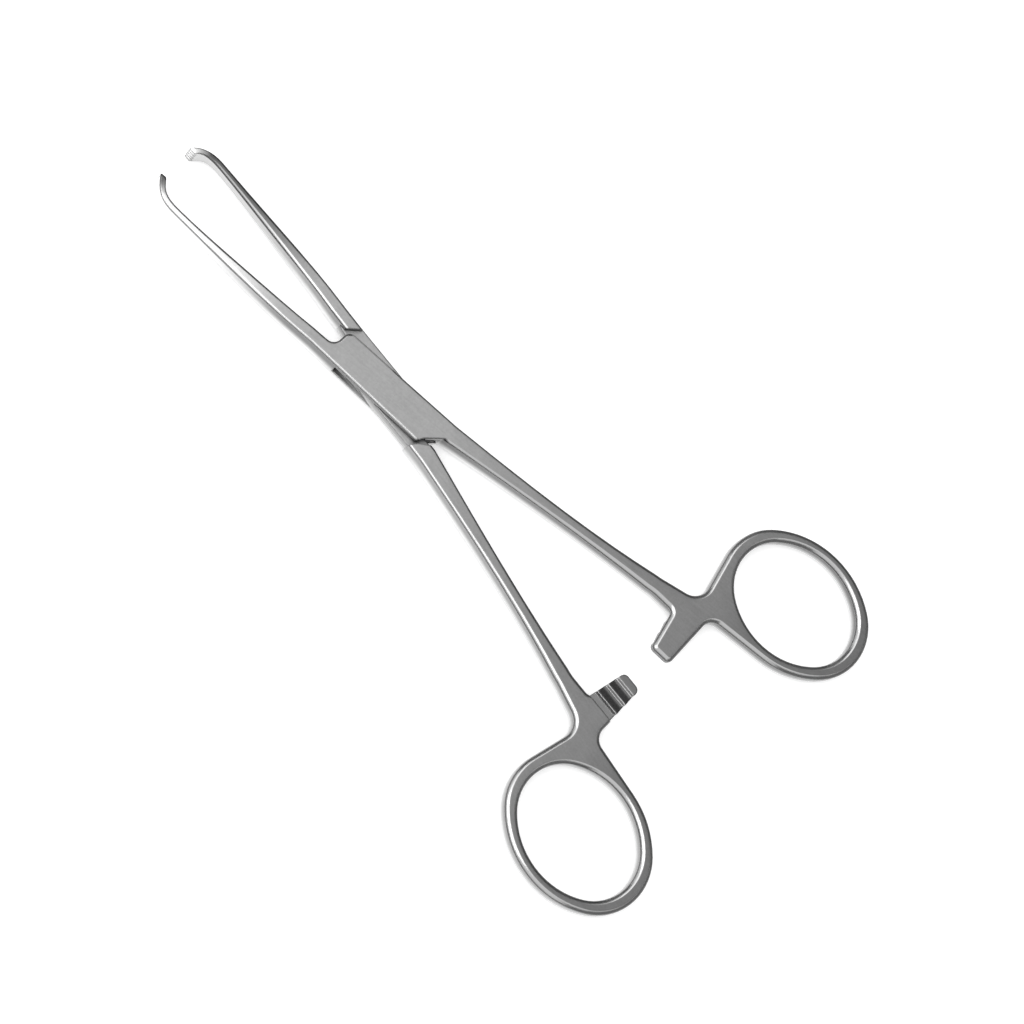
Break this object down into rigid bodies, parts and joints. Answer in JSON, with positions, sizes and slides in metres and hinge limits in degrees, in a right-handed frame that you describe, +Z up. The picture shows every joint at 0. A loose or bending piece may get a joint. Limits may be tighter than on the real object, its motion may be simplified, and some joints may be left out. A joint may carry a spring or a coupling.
{
  "type": "tissue forceps",
  "caption": "Ring-handled tissue forceps with a box lock, slim bowed jaws ending in inturned toothed tips, and a toothed ratchet between the finger rings.",
  "frame": {"origin": "axis of the riveted pin, on the flat underside of the box", "axes": "+X along the instrument towards the finger rings, +Y towards the ring of the box half, +Z up along the pin"},
  "size_m": [0.1562, 0.0892, 0.0048],
  "materials": {
    "satin_steel": "satin, fine matte grain on the flats",
    "pin_steel": "ground flush, satin"
  },
  "bodies": {
    "box_half": {"box_half": "satin_steel", "pivot_pin": "pin_steel"},
    "tongue_half": {"tongue_half": "satin_steel"}
  },
  "joints": [
    {"name": "lock_pivot", "type": "hinge", "parent": "box_half", "child": "tongue_half", "pos_m": [0, 0, 0], "axis": [0, 0, -1], "range_deg": [-7.8, 82.2]}
  ]
}
